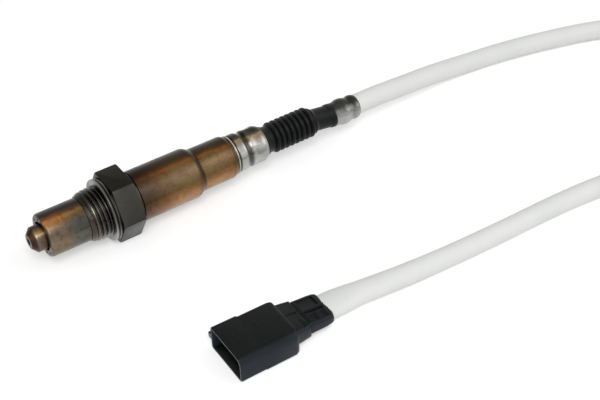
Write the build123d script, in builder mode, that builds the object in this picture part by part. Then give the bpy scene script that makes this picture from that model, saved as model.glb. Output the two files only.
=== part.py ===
from build123d import *
import os
from math import cos, pi, radians, tan

# Four-wire oxygen sensor with its sleeved cable and plug, in millimetres, +Z up.
# The thread axis is X and the nose points to -X. The origin is on that axis, in the plane where
# the gasket meets the exhaust boss. The sensor lies on one flat of its hexagon, and the cable
# sags to the same floor and comes back to the plug beside it.

# Running gaps between pieces that slide together
press_gap = 0.05
slide_gap = 0.15

# Threaded body
thread_d = 18.0
thread_len = 7.5
thread_lead_in = 1.1
relief_d = 17.2
hex_flats = 22.0
hex_len = 7.7
hex_chamfer_d = 24.4
washer_face_d = 20.8
washer_face_len = 0.5
weld_collar_len = 0.9
rear_spigot_len = 6.0
nose_spigot_len = 3.0
body_bore_d = 11.5
throat_d = 8.8
throat_len = 1.4
crimped_lip_d = 10.4
crimped_lip_len = 0.6

# Gasket: a folded ring, crushed to two lobes
gasket_d = 21.9
gasket_len = 2.2
gasket_gap = 0.1
gasket_lobe_round = 0.44
gasket_bridge_h = 0.8

# Outer protection tube, with gas holes round its front face
outer_tube_d = 15.1
outer_tube_len = 15.0
outer_tube_wall = 0.5
outer_tube_corner = 1.0
front_opening_gap = 0.6
front_holes = 10
front_hole_d = 1.1
front_hole_edge = 1.45

# Inner protection tube, which stands out in front
tube_gap = 2.55
inner_tube_wall = 0.4
inner_foot_len = 4.6
inner_foot_ledge = 1.1
inner_step_len = 1.6
inner_tip_d = 4.6
inner_cone_len = 2.3
inner_reach = 4.6
tip_hole_d = 2.2
side_holes = 6
side_hole_d = 1.5
side_hole_x = -14.5

# Sensing strip and the ceramics that hold it
strip_w = 4.2
strip_t = 1.3
strip_front = 3.5
strip_rear_x = 33.5
strip_gap = 0.1
front_ceramic_len = 6.4
powder_len = 5.0

# Outer shell: one drawn tube with a shoulder, a neck and a closed-in end
shell_d = 18.0
shell_wall = 0.7
weld_gap = 0.3
shell_len = 21.2
shoulder_len = 2.6
neck_d = 15.45
neck_len = 12.6
taper_len = 3.8
shell_end_d = 12.9
shell_lip_len = 0.5
shell_bends = [1.6, 0.9, 3.0, 0.4]

# Crimped collar on the rubber
collar_wall = 0.45
collar_spigot_len = 4.5
first_ring_d = 13.8
first_ring_len = 2.0
collar_groove_d = 12.6
collar_groove_len = 2.4
second_ring_d = 13.6
second_ring_len = 4.9
collar_mouth_d = 12.0
collar_mouth_len = 1.1
collar_step_bends = [0.1, 0.4]
collar_bends = [0.5, 1.0, 0.5, 0.9]
crimp_count = 10
crimp_flat_depth = 0.2
crimp_flat_margin = 0.9

# Contact holder, its clip and the four contacts
holder_d = 11.0
holder_x = 24.0
holder_front_len = 12.0
holder_rear_len = 10.0
clip_wall = 0.5
clip_len = 7.0
contact_pitch = 2.8
contact_w = 1.2
contact_t = 0.3
contact_touch_x = 28.5
leaf_rise = 0.7
leaf_slope_len = 4.0
leaf_end_len = 2.0
barrel_wall = 0.23
barrel_len = 3.6

# Wires
wire_d = 1.7
wire_rise = 1.7
wire_bend_r = 20.0

# Rubber boot: a plug in the collar, then bellows, then a plain tail that hangs a little
boot_plug_len = 9.6
cone_len = 3.2
cone_end_d = 9.3
boot_bore_d = 6.8
boot_wall = 1.2
rib_count = 8
rib_pitch = 2.15
rib_crest_d = 11.2
rib_valley_d = 9.2
tail_drop = 0.075
tail_bore_d = 6.3
tail_root_d = 8.1
tail_end_d = 8.7
tail_spigot_d = 7.8
tail_len = 12.8

# Ferrule crimped round the boot's tail and the sleeve's end
ferrule_wall = 0.45
ferrule_len = 8.0
ferrule_front_d = 8.8
ferrule_bulge_d = 10.1
ferrule_bulge_len = 4.5
ferrule_waist_d = 8.8
ferrule_bead_d = 9.3
ferrule_mouth_d = 8.6

# Woven sleeve with the wires inside, a free cable
sleeve_d = 7.6

# Plug, flat on the floor: sizes along, across and up
plug_h = 8.4
hood_w = 15.9
hood_shift = 0.15
hood_len = 8.0
hood_wall = 1.0
case_w = 15.7
case_shift = -0.25
case_len = 12.7
case_corner = 2.3
socket_depth = 11.0
base_wall = 1.5
lug_len = 1.2
lug_w = 0.5
lug_h = 1.6
neck_case_w = 13.6
neck_case_h = 5.3
neck_case_rear_w = 12.7
neck_case_rear_h = 4.7
neck_case_len = 5.3
neck_case_corner = 1.6

# Terminals, seal and retainer in the plug
terminal_count = 4
terminal_pitch = 3.0
terminal_size = 2.1
terminal_len = 4.0
terminal_barrel_len = 3.4
blade_w = 1.5
blade_t = 0.6
blade_reach = 6.0
seal_len = 4.2
seal_w = 11.6
seal_h = 3.5
seal_lip = 0.2
retainer_len = 1.5

# Rear cover of the plug, which gathers the wires
cover_len = 8.3
cover_w = 12.3
cover_rear_h = 3.4
cover_rear_up = 3.5
cover_corner = 1.5
cover_spigot_len = 1.0
tunnel_h = 1.95
lead_pitch = 1.8
lead_end_len = 1.0
pocket_front = 1.2
pocket_len = 5.6
pocket_w = 3.8
pocket_across = 2.6
pocket_depth = 0.35
pocket_round = 0.5
rib_len = 7.6
rib_w = 0.6
rib_h = 0.4
rib_across = -0.9
step_len = 2.4
step_w = 3.2
step_gap = 0.7
step_across = -3.7
step_depth = 0.25

# Places along X that follow from the sizes
floor_z = -hex_flats / 2
hex_front_x = gasket_len + washer_face_len
hex_rear_x = hex_front_x + hex_len
body_collar_x = hex_rear_x + weld_collar_len
body_rear_x = body_collar_x + rear_spigot_len
body_front_x = -thread_len - nose_spigot_len
outer_tube_x = -thread_len - outer_tube_len
foot_x = body_front_x + inner_foot_len
inner_front_x = outer_tube_x - inner_reach
shell_x = body_collar_x + weld_gap
shoulder_x = shell_x + shell_len
neck_x = shoulder_x + shoulder_len
taper_x = neck_x + neck_len
shell_end_x = taper_x + taper_len
shell_rear_x = shell_end_x + shell_lip_len
first_ring_x = shell_rear_x + weld_gap
collar_groove_x = first_ring_x + first_ring_len
second_ring_x = collar_groove_x + collar_groove_len
collar_mouth_x = second_ring_x + second_ring_len
collar_rear_x = collar_mouth_x + collar_mouth_len
rubber_front_x = collar_rear_x - boot_plug_len
bellows_x = collar_rear_x + cone_len
bellows_end_x = bellows_x + rib_count * rib_pitch
holder_flange_x = holder_x + holder_front_len
holder_rear_x = holder_flange_x + holder_rear_len

# Radii that follow
thread_r = thread_d / 2
inner_tube_r = outer_tube_d / 2 - outer_tube_wall - tube_gap
front_opening_r = inner_tube_r + front_opening_gap
shell_r = shell_d / 2
shell_bore_r = shell_r - shell_wall
neck_bore_r = neck_d / 2 - shell_wall
shell_end_bore_r = shell_end_d / 2 - shell_wall
rear_spigot_r = shell_bore_r - press_gap
nose_spigot_r = outer_tube_d / 2 - outer_tube_wall - press_gap
foot_r = nose_spigot_r - inner_foot_ledge
body_bore_r = body_bore_d / 2

# The tail's axis leaves the end of the bellows and drops towards the cable
tail_direction = Vector(1, 0, -tail_drop).normalized()
tail_plane = Plane(origin=(bellows_end_x, 0, 0), x_dir=tail_direction, z_dir=(0, -1, 0))
tail_axis = Axis((bellows_end_x, 0, 0), tail_direction)

# Points of the cable's route, chosen by hand: out of the ferrule, down to the floor, round a
# wide loop and back to the plug's rear face
sleeve_z = floor_z + sleeve_d / 2
route = [
    (99.4, 0.0, -1.2),
    (115.4, 0.0, -2.4),
    (133.5, 0.8, -4.0),
    (155.0, 3.4, -7.0),
    (177.0, 1.0, sleeve_z),
    (199.0, -3.9, sleeve_z),
    (221.0, -10.4, sleeve_z),
    (237.5, -20.7, sleeve_z),
    (247.7, -37.3, sleeve_z),
    (249.4, -56.7, sleeve_z),
    (242.3, -74.8, sleeve_z),
    (227.8, -87.8, sleeve_z),
    (209.0, -93.0, sleeve_z),
    (189.6, -91.4, sleeve_z),
    (168.0, -86.6, sleeve_z),
    (146.0, -82.2, sleeve_z),
    (124.0, -80.7, sleeve_z),
    (103.0, -80.3, sleeve_z),
    (82.0, -79.2, sleeve_z),
    (63.0, -77.6, sleeve_z),
    (47.5, -74.8, sleeve_z),
    (36.3, -74.5, sleeve_z),
]

# The plug's own frame: it lies in line with the cable's last run, its origin is on the floor
# under the middle of the mouth, and its rear face meets the end of the cable
plug_case_rear = hood_len + case_len
plug_neck_rear = plug_case_rear + neck_case_len
plug_rear = plug_neck_rear + cover_len
cable_end = Vector(*route[-1])
plug_direction = (Vector(*route[-2]) - cable_end).normalized()
plug_mouth = cable_end - plug_direction * plug_rear
plug_base = Plane(origin=(plug_mouth.X, plug_mouth.Y, floor_z), x_dir=plug_direction, z_dir=(0, 0, 1))
plug_mid = plug_h / 2
terminal_front = socket_depth + base_wall
seal_rear = plug_neck_rear - cover_spigot_len
seal_front = seal_rear - seal_len


def plug_point(along, across, up):
    """A point of the plug: along its length from the mouth, across to the far side, and up."""
    return plug_base.from_local_coords(Vector(along, across, up))


def plug_section(along, across=0.0, up=plug_mid):
    """A plane across the plug, facing its rear, with local x across and local y up."""
    return Plane(origin=plug_point(along, across, up), x_dir=plug_base.y_dir, z_dir=plug_base.x_dir)


def save(piece, name):
    """Label a finished piece and write it as one STEP file."""
    piece.part.label = name
    export_step(piece.part, f"parts/{name}.step")


os.makedirs("parts", exist_ok=True)

# Outer protection tube: a drawn cup with a rounded front edge, open round the inner tube
with BuildPart() as outer_protection_tube:
    with BuildSketch(Plane.XZ):
        with BuildLine():
            outside = FilletPolyline(
                (outer_tube_x, front_opening_r),
                (outer_tube_x, outer_tube_d / 2),
                (-thread_len - slide_gap, outer_tube_d / 2),
                radius=outer_tube_corner,
            )
            inside = FilletPolyline(
                (outer_tube_x + outer_tube_wall, front_opening_r),
                (outer_tube_x + outer_tube_wall, outer_tube_d / 2 - outer_tube_wall),
                (-thread_len - slide_gap, outer_tube_d / 2 - outer_tube_wall),
                radius=outer_tube_corner - outer_tube_wall,
            )
            Line(outside @ 0, inside @ 0)
            Line(outside @ 1, inside @ 1)
        make_face()
    revolve(axis=Axis.X)
    with BuildSketch(Plane.YZ.offset(outer_tube_x)):
        with PolarLocations(outer_tube_d / 2 - front_hole_edge, front_holes):
            Circle(front_hole_d / 2)
    extrude(amount=outer_tube_wall, mode=Mode.SUBTRACT)
save(outer_protection_tube, "outer_protection_tube")

# Inner protection tube: wide foot in the body, narrow tube, coned tip with one hole
with BuildPart() as inner_protection_tube:
    cone_x = inner_front_x + inner_cone_len
    step_x = body_front_x - inner_step_len
    with BuildSketch(Plane.XZ):
        with BuildLine():
            skin = Polyline(
                (inner_front_x, tip_hole_d / 2),
                (inner_front_x, inner_tip_d / 2),
                (cone_x, inner_tube_r),
                (step_x, inner_tube_r),
                (body_front_x, foot_r - press_gap),
                (foot_x, foot_r - press_gap),
            )
            lining = Polyline(
                (inner_front_x + inner_tube_wall, tip_hole_d / 2),
                (inner_front_x + inner_tube_wall, inner_tip_d / 2 - inner_tube_wall / 2),
                (cone_x, inner_tube_r - inner_tube_wall),
                (step_x, inner_tube_r - inner_tube_wall),
                (body_front_x, foot_r - press_gap - inner_tube_wall),
                (foot_x, foot_r - press_gap - inner_tube_wall),
            )
            Line(skin @ 0, lining @ 0)
            Line(skin @ 1, lining @ 1)
        make_face()
    revolve(axis=Axis.X)
    with BuildSketch(Plane.XY):
        with Locations((side_hole_x, 0)):
            Circle(side_hole_d / 2)
    hole_tool = extrude(amount=inner_tube_r * 2, mode=Mode.PRIVATE)
    for turn in range(side_holes):
        add(hole_tool.rotate(Axis.X, turn * 360 / side_holes), mode=Mode.SUBTRACT)
save(inner_protection_tube, "inner_protection_tube")

# Threaded body: nose spigot, thread blank, washer face, hexagon, weld collar and rear spigot
with BuildPart() as sensor_body:
    with BuildSketch(Plane.YZ.offset(hex_front_x)):
        RegularPolygon(radius=hex_flats / 2, side_count=6, major_radius=False)
    extrude(amount=hex_len)
    with BuildSketch(Plane.XZ):
        with BuildLine():
            corner_r = hex_flats / 2 / cos(radians(30))
            chamfer_x = (corner_r - hex_chamfer_d / 2) * tan(radians(30))
            Polyline(
                (hex_front_x, 0),
                (hex_front_x, hex_chamfer_d / 2),
                (hex_front_x + chamfer_x, corner_r),
                (hex_rear_x - chamfer_x, corner_r),
                (hex_rear_x, hex_chamfer_d / 2),
                (hex_rear_x, 0),
                close=True,
            )
        make_face()
    revolve(axis=Axis.X, mode=Mode.INTERSECT)
    with BuildSketch(Plane.XZ):
        with BuildLine():
            Polyline(
                (body_front_x, 0),
                (body_front_x, nose_spigot_r),
                (-thread_len, nose_spigot_r),
                (-thread_len, thread_r - thread_lead_in),
                (-thread_len + thread_lead_in, thread_r),
                (0, thread_r),
                (0, relief_d / 2),
                (gasket_len, relief_d / 2),
                (gasket_len, washer_face_d / 2),
                (hex_front_x, washer_face_d / 2),
                (hex_rear_x, washer_face_d / 2),
                (hex_rear_x, shell_r),
                (body_collar_x, shell_r),
                (body_collar_x, rear_spigot_r),
                (body_rear_x, rear_spigot_r),
                (body_rear_x, 0),
                close=True,
            )
        make_face()
    revolve(axis=Axis.X)
    with BuildSketch(Plane.XZ):
        with BuildLine():
            throat_x = foot_x + throat_len
            Polyline(
                (body_front_x, 0),
                (body_front_x, foot_r),
                (foot_x, foot_r),
                (foot_x, throat_d / 2),
                (throat_x, throat_d / 2),
                (throat_x, body_bore_r),
                (body_rear_x - crimped_lip_len, body_bore_r),
                (body_rear_x - crimped_lip_len, crimped_lip_d / 2),
                (body_rear_x, crimped_lip_d / 2),
                (body_rear_x, 0),
                close=True,
            )
        make_face()
    revolve(axis=Axis.X, mode=Mode.SUBTRACT)
save(sensor_body, "sensor_body")

# Gasket: two rolled lobes side by side, held in the relief behind the thread
with BuildPart() as seal_gasket:
    with BuildSketch(Plane.XZ):
        gasket_bore_r = relief_d / 2 + gasket_gap
        gasket_h = gasket_d / 2 - gasket_bore_r
        for lobe in range(2):
            with Locations(((lobe + 0.5) * gasket_len / 2, gasket_bore_r + gasket_h / 2)):
                RectangleRounded(gasket_len / 2, gasket_h, radius=gasket_lobe_round)
        with Locations((gasket_len / 2, gasket_bore_r + gasket_h / 2)):
            Rectangle(gasket_len / 2, gasket_bridge_h)
    revolve(axis=Axis.X)
save(seal_gasket, "seal_gasket")

# Sensing strip: one flat laminated ceramic, from inside the tip to between the contacts
with BuildPart() as sensing_strip:
    strip_front_x = inner_front_x + strip_front
    with BuildSketch(Plane.YZ.offset(strip_front_x)):
        Rectangle(strip_w, strip_t)
    extrude(amount=strip_rear_x - strip_front_x)
    chamfer(sensing_strip.edges().filter_by(Axis.X), length=strip_t / 6)
save(sensing_strip, "sensing_strip")

# Ceramics and packed powder in the body's bore, each with a slot for the strip
front_ceramic_x = foot_x + throat_len
powder_x = front_ceramic_x + front_ceramic_len
rear_ceramic_x = powder_x + powder_len
rear_ceramic_end_x = body_rear_x - crimped_lip_len


def slotted_disc(front_x, rear_x, radius):
    """A plain cylinder on the sensor's axis with a through slot for the sensing strip."""
    with BuildPart() as disc:
        with BuildSketch(Plane.YZ.offset(front_x)):
            Circle(radius)
            Rectangle(strip_w + 2 * strip_gap, strip_t + 2 * strip_gap, mode=Mode.SUBTRACT)
        extrude(amount=rear_x - front_x)
    return disc


front_ceramic = slotted_disc(front_ceramic_x, powder_x, body_bore_r - slide_gap)
save(front_ceramic, "front_ceramic")

powder_packing = slotted_disc(powder_x, rear_ceramic_x, body_bore_r)
save(powder_packing, "powder_packing")

rear_ceramic = slotted_disc(rear_ceramic_x, rear_ceramic_end_x, body_bore_r - slide_gap)
save(rear_ceramic, "rear_ceramic")

# Outer shell: pushed over the rear spigot, with a rounded shoulder and a closed-in end
with BuildPart() as outer_shell:
    with BuildSketch(Plane.XZ):
        with BuildLine():
            skin = FilletPolyline(
                (shell_x, shell_r),
                (shoulder_x, shell_r),
                (neck_x, neck_d / 2),
                (taper_x, neck_d / 2),
                (shell_end_x, shell_end_d / 2),
                (shell_rear_x, shell_end_d / 2),
                radius=shell_bends,
            )
            lining = FilletPolyline(
                (shell_x, shell_bore_r),
                (shoulder_x, shell_bore_r),
                (neck_x, neck_bore_r),
                (taper_x, neck_bore_r),
                (shell_end_x, shell_end_bore_r),
                (shell_rear_x, shell_end_bore_r),
                radius=shell_bends,
            )
            Line(skin @ 0, lining @ 0)
            Line(skin @ 1, lining @ 1)
        make_face()
    revolve(axis=Axis.X)
save(outer_shell, "outer_shell")

# Crimped collar: a spigot in the shell's end, two raised rings and a closed-in mouth
with BuildPart() as crimp_collar:
    with BuildSketch(Plane.XZ):
        with BuildLine():
            spigot_r = shell_end_bore_r - press_gap
            ring_points = [
                (first_ring_x - collar_spigot_len, spigot_r),
                (first_ring_x, spigot_r),
                (first_ring_x, first_ring_d / 2),
                (collar_groove_x, first_ring_d / 2),
                (collar_groove_x + collar_groove_len / 2, collar_groove_d / 2),
                (second_ring_x, second_ring_d / 2),
                (collar_mouth_x, second_ring_d / 2),
                (collar_rear_x, collar_mouth_d / 2),
            ]
            step_shift = [0, collar_wall, collar_wall, 0, 0, 0, 0, 0]
            step_bends = [min(bend, (first_ring_d / 2 - spigot_r) / 3) for bend in collar_step_bends]
            skin = FilletPolyline(*ring_points, radius=step_bends + collar_bends)
            lining = FilletPolyline(
                *[(x + shift, r - collar_wall) for (x, r), shift in zip(ring_points, step_shift)],
                radius=step_bends + collar_bends,
            )
            Line(skin @ 0, lining @ 0)
            Line(skin @ 1, lining @ 1)
        make_face()
    revolve(axis=Axis.X)
    with BuildSketch(Plane.YZ.offset(second_ring_x + crimp_flat_margin)):
        Circle(second_ring_d / 2 + collar_wall)
        flat_r = second_ring_d / 2 - crimp_flat_depth
        RegularPolygon(flat_r, crimp_count, major_radius=False, mode=Mode.SUBTRACT)
    extrude(amount=second_ring_len - 2 * crimp_flat_margin, mode=Mode.SUBTRACT)
save(crimp_collar, "crimp_collar")

# Contact holder: two ceramic halves that meet on the strip's mid plane
channel_w = contact_w + 2 * slide_gap
channel_rise = wire_rise + contact_t
holder_nose_r = holder_d / 2
holder_flange_r = neck_bore_r - slide_gap


def holder_half(side):
    """One half of the contact holder; side is 1 for the upper half and -1 for the lower."""
    with BuildPart() as half:
        with BuildSketch(Plane.YZ.offset(holder_x)):
            Circle(holder_nose_r)
        extrude(amount=holder_front_len)
        with BuildSketch(Plane.YZ.offset(holder_flange_x)):
            Circle(holder_flange_r)
        extrude(amount=holder_rear_len)
        split(bisect_by=Plane.XY, keep=Keep.TOP if side > 0 else Keep.BOTTOM)
        with BuildSketch(Plane.YZ.offset(holder_x)):
            Rectangle(strip_w + 2 * strip_gap, strip_t + 2 * strip_gap)
        extrude(amount=strip_rear_x + slide_gap - holder_x, mode=Mode.SUBTRACT)
        with BuildSketch(Plane.YZ.offset(contact_touch_x - contact_w * 2)):
            with Locations((0, side * channel_rise / 2)):
                with GridLocations(contact_pitch, 0, 2, 1):
                    Rectangle(channel_w, channel_rise)
        extrude(amount=holder_rear_x, mode=Mode.SUBTRACT)
    return half


holder_upper = holder_half(1)
save(holder_upper, "contact_holder_upper")
holder_lower = holder_half(-1)
save(holder_lower, "contact_holder_lower")

# Clip: a slit spring ring that squeezes the two halves on the strip
with BuildPart() as holder_clip:
    clip_x = holder_flange_x - clip_len - slide_gap
    clip_bore_r = holder_nose_r + press_gap
    with BuildSketch(Plane.YZ.offset(clip_x)):
        Circle(clip_bore_r + clip_wall)
        Circle(clip_bore_r, mode=Mode.SUBTRACT)
        with Locations((clip_bore_r, 0)):
            Rectangle(clip_wall * 4, clip_wall * 3, mode=Mode.SUBTRACT)
    extrude(amount=clip_len)
save(holder_clip, "holder_clip")

# Contacts: a bent leaf that presses on the strip, and a round barrel closed on the wire
barrel_x = holder_rear_x + slide_gap
wire_x = barrel_x + contact_t
leaf_z = wire_rise - wire_d / 2 - press_gap - barrel_wall + contact_t / 2
touch_z = strip_t / 2 + strip_gap / 4 + contact_t / 2


def contact(across, side):
    """One contact at the given place across, above (1) or below (-1) the strip."""
    with BuildPart() as piece:
        with BuildSketch(Plane.XZ.offset(-across)):
            with BuildLine():
                leaf = FilletPolyline(
                    (contact_touch_x - contact_w, side * (touch_z + contact_t)),
                    (contact_touch_x, side * touch_z),
                    (contact_touch_x + leaf_slope_len, side * (touch_z + leaf_rise)),
                    (strip_rear_x + leaf_end_len, side * (touch_z + leaf_rise)),
                    (strip_rear_x + leaf_slope_len, side * leaf_z),
                    (barrel_x + barrel_len, side * leaf_z),
                    radius=contact_t,
                )
                offset(leaf, amount=contact_t / 2, side=Side.BOTH)
            make_face()
        extrude(amount=contact_w / 2, both=True)
        with BuildSketch(Plane.YZ.offset(barrel_x)):
            with Locations((across, side * wire_rise)):
                Circle(wire_d / 2 + press_gap + barrel_wall)
        extrude(amount=barrel_len)
        with BuildSketch(Plane.YZ.offset(barrel_x)):
            with Locations((across, side * wire_rise)):
                Circle(wire_d / 2 + press_gap)
        extrude(amount=barrel_len, mode=Mode.SUBTRACT)
    return piece


contact_places = [(a * contact_pitch / 2, s) for s in (1, -1) for a in (1, -1)]
for number, (across, side) in enumerate(contact_places, start=1):
    save(contact(across, side), f"strip_contact_{number}")


# Rubber boot: plug with four wire holes, cone, bellows and tail, moulded as one
cable_local = tail_plane.to_local_coords(Vector(*route[0])).X
with BuildPart() as rubber_boot:
    with BuildSketch(Plane.XZ):
        with BuildLine():
            seat = collar_wall + press_gap
            Polyline(
                (bellows_x, boot_bore_d / 2),
                (collar_rear_x, boot_bore_d / 2),
                (collar_rear_x, 0),
                (rubber_front_x, 0),
                (rubber_front_x, first_ring_d / 2 - seat),
                (collar_groove_x, first_ring_d / 2 - seat),
                (collar_groove_x + collar_groove_len / 2, collar_groove_d / 2 - seat),
                (second_ring_x, second_ring_d / 2 - seat),
                (collar_mouth_x, second_ring_d / 2 - seat),
                (collar_rear_x, collar_mouth_d / 2 - seat),
                (bellows_x, cone_end_d / 2),
                (bellows_x, rib_valley_d / 2),
            )
            for rib in range(rib_count):
                rib_x = bellows_x + rib * rib_pitch
                ThreePointArc(
                    (rib_x, rib_valley_d / 2),
                    (rib_x + rib_pitch / 2, rib_crest_d / 2),
                    (rib_x + rib_pitch, rib_valley_d / 2),
                )
                ThreePointArc(
                    (rib_x, boot_bore_d / 2),
                    (rib_x + rib_pitch / 2, rib_crest_d / 2 - boot_wall),
                    (rib_x + rib_pitch, boot_bore_d / 2),
                )
            Line((bellows_end_x, boot_bore_d / 2), (bellows_end_x, rib_valley_d / 2))
        make_face()
    revolve(axis=Axis.X)
    with BuildSketch(tail_plane):
        with BuildLine():
            Polyline(
                (-rib_pitch / 4, tail_bore_d / 2),
                (-rib_pitch / 4, tail_root_d / 2),
                (rib_pitch / 2, tail_root_d / 2),
                (tail_len - rib_pitch / 2, tail_end_d / 2),
                (tail_len, tail_end_d / 2),
                (tail_len, tail_spigot_d / 2),
                (cable_local, tail_spigot_d / 2),
                (cable_local, tail_bore_d / 2),
                close=True,
            )
        make_face()
    revolve(axis=tail_axis)
    with BuildSketch(Plane.YZ.offset(rubber_front_x)):
        with GridLocations(contact_pitch, 2 * wire_rise, 2, 2):
            Circle(wire_d / 2 + press_gap)
    extrude(amount=boot_plug_len, mode=Mode.SUBTRACT)
save(rubber_boot, "rubber_boot")

# Ferrule: a bulged band over the rubber, a waist, and a bead over the woven sleeve
with BuildPart() as cable_ferrule:
    with BuildSketch(tail_plane):
        with BuildLine():
            waist = tail_len + ferrule_bulge_len
            mouth = tail_len + ferrule_len
            for inset in (0, ferrule_wall):
                ThreePointArc(
                    (tail_len, ferrule_front_d / 2 - inset),
                    (tail_len + ferrule_bulge_len / 2, ferrule_bulge_d / 2 - inset),
                    (waist, ferrule_waist_d / 2 - inset),
                )
                ThreePointArc(
                    (waist, ferrule_waist_d / 2 - inset),
                    ((waist + mouth) / 2, ferrule_bead_d / 2 - inset),
                    (mouth, ferrule_mouth_d / 2 - inset),
                )
            for along, outer_d in ((tail_len, ferrule_front_d), (mouth, ferrule_mouth_d)):
                Line((along, outer_d / 2), (along, outer_d / 2 - ferrule_wall))
        make_face()
    revolve(axis=tail_axis)
save(cable_ferrule, "cable_ferrule")

# Wires from the contacts to the start of the sleeve, where they go on inside it
for number, (across, side) in enumerate(contact_places, start=1):
    with BuildPart() as lead_wire:
        with BuildLine() as wire_path:
            FilletPolyline(
                (wire_x, across, side * wire_rise),
                (bellows_end_x, across, side * wire_rise),
                tail_plane.from_local_coords(Vector(cable_local, side * wire_rise, -across)),
                radius=wire_bend_r,
            )
        with BuildSketch(Plane(origin=wire_path.line @ 0, z_dir=wire_path.line % 0)):
            Circle(wire_d / 2)
        sweep(path=wire_path.wires()[0])
    save(lead_wire, f"lead_wire_{number}")


def bend_radii(points):
    """The radius of each inner corner: 0.45 of its shorter run over the tangent of half its turn."""
    radii = []
    for before, corner, after in zip(points, points[1:], points[2:]):
        run_in = Vector(*corner) - Vector(*before)
        run_out = Vector(*after) - Vector(*corner)
        half_turn = radians(run_in.get_angle(run_out)) / 2
        radii.append(0.45 * min(run_in.length, run_out.length) / tan(half_turn))
    return radii


# The sleeved cable: one round tube of straight runs and tangent arcs
sleeve_radii = bend_radii(route)
print("sleeve bend radii", [round(radius, 1) for radius in sleeve_radii])
with BuildPart() as cable_sleeve:
    with BuildLine() as sleeve_path:
        FilletPolyline(*route, radius=sleeve_radii)
    with BuildSketch(Plane(origin=sleeve_path.line @ 0, z_dir=sleeve_path.line % 0)):
        Circle(sleeve_d / 2)
    sweep(path=sleeve_path.wires()[0])
save(cable_sleeve, "cable_sleeve")
sleeve_section = pi * sleeve_d**2 / 4
print("sleeve length", round(sleeve_path.wires()[0].length, 1))
print("sleeve volume", round(cable_sleeve.part.volume), round(sleeve_section * sleeve_path.wires()[0].length))

# Plug housing: hood round the socket, case, and a drafted neck that holds the seal
with BuildPart() as plug_housing:
    with BuildSketch(plug_section(0, hood_shift)):
        RectangleRounded(hood_w, plug_h, radius=case_corner)
    extrude(amount=hood_len)
    with BuildSketch(plug_section(hood_len, case_shift)):
        RectangleRounded(case_w, plug_h, radius=case_corner)
    extrude(amount=case_len)
    with BuildSketch(plug_section(plug_case_rear, case_shift)):
        RectangleRounded(neck_case_w, neck_case_h, radius=neck_case_corner)
    with BuildSketch(plug_section(plug_neck_rear, case_shift)):
        RectangleRounded(neck_case_rear_w, neck_case_rear_h, radius=neck_case_corner)
    loft()
    with BuildSketch(plug_section(0, hood_shift + hood_w / 2, plug_mid + lug_h)):
        Rectangle(2 * lug_w, lug_h)
    extrude(amount=lug_len)
    with BuildSketch(plug_section(0, hood_shift)):
        RectangleRounded(hood_w - 2 * hood_wall, plug_h - 2 * hood_wall, radius=case_corner - hood_wall)
    extrude(amount=socket_depth, mode=Mode.SUBTRACT)
    with BuildSketch(plug_section(socket_depth)):
        with GridLocations(terminal_pitch, 0, terminal_count, 1):
            Rectangle(blade_w + 2 * slide_gap, blade_t + 2 * slide_gap)
    extrude(amount=base_wall, mode=Mode.SUBTRACT)
    with BuildSketch(plug_section(terminal_front)):
        with GridLocations(terminal_pitch, 0, terminal_count, 1):
            Rectangle(terminal_size + 2 * press_gap, terminal_size + 2 * press_gap)
    extrude(amount=seal_front - terminal_front, mode=Mode.SUBTRACT)
    with BuildSketch(plug_section(seal_front, case_shift)):
        RectangleRounded(seal_w + 2 * seal_lip, seal_h + 2 * seal_lip, radius=neck_case_corner / 2)
    extrude(amount=plug_neck_rear - seal_front, mode=Mode.SUBTRACT)
save(plug_housing, "plug_housing")

# Retainer: a comb plate on the floor of the socket, with a slot for each blade
with BuildPart() as terminal_retainer:
    with BuildSketch(plug_section(socket_depth - retainer_len)):
        with Locations((hood_shift, 0)):
            RectangleRounded(
                hood_w - 2 * hood_wall - 2 * slide_gap,
                plug_h - 2 * hood_wall - 2 * slide_gap,
                radius=case_corner - hood_wall - slide_gap,
            )
        with GridLocations(terminal_pitch, 0, terminal_count, 1):
            Rectangle(blade_w + 2 * slide_gap, blade_t + 2 * slide_gap, mode=Mode.SUBTRACT)
    extrude(amount=retainer_len)
save(terminal_retainer, "terminal_retainer")

# Terminals: a blade through the retainer, a box in its cell and a barrel closed on the wire
terminal_places = [(i - (terminal_count - 1) / 2) * terminal_pitch for i in range(terminal_count)]
terminal_x = terminal_front + press_gap
terminal_barrel_x = terminal_x + terminal_len
terminal_rear = terminal_barrel_x + terminal_barrel_len
for number, across in enumerate(terminal_places, start=1):
    with BuildPart() as plug_terminal:
        with BuildSketch(plug_section(socket_depth - blade_reach, across)):
            Rectangle(blade_w, blade_t)
        extrude(amount=terminal_x - socket_depth + blade_reach)
        blade_tip = plug_terminal.faces().sort_by(Axis(plug_base.origin, plug_base.x_dir))[0]
        chamfer(blade_tip.edges(), length=blade_t / 4)
        with BuildSketch(plug_section(terminal_x, across)):
            Rectangle(terminal_size, terminal_size)
        extrude(amount=terminal_len)
        with BuildSketch(plug_section(terminal_barrel_x, across)):
            Circle(terminal_size / 2)
            Circle(wire_d / 2, mode=Mode.SUBTRACT)
        extrude(amount=terminal_barrel_len)
    save(plug_terminal, f"plug_terminal_{number}")

# Seal: one soft block round all four wires, with a lip near each end
with BuildPart() as wire_seal:
    with BuildSketch(plug_section(seal_front, case_shift)):
        RectangleRounded(seal_w, seal_h, radius=neck_case_corner / 2)
    extrude(amount=seal_len)
    for lip_front in (seal_front + seal_len / 8, seal_front + seal_len * 5 / 8):
        with BuildSketch(plug_section(lip_front, case_shift)):
            RectangleRounded(seal_w + 2 * seal_lip, seal_h + 2 * seal_lip, radius=neck_case_corner / 2)
        extrude(amount=seal_len / 4)
    with BuildSketch(plug_section(seal_front)):
        with GridLocations(terminal_pitch, 0, terminal_count, 1):
            Circle(wire_d / 2)
    extrude(amount=seal_len, mode=Mode.SUBTRACT)
save(wire_seal, "wire_seal")

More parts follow.
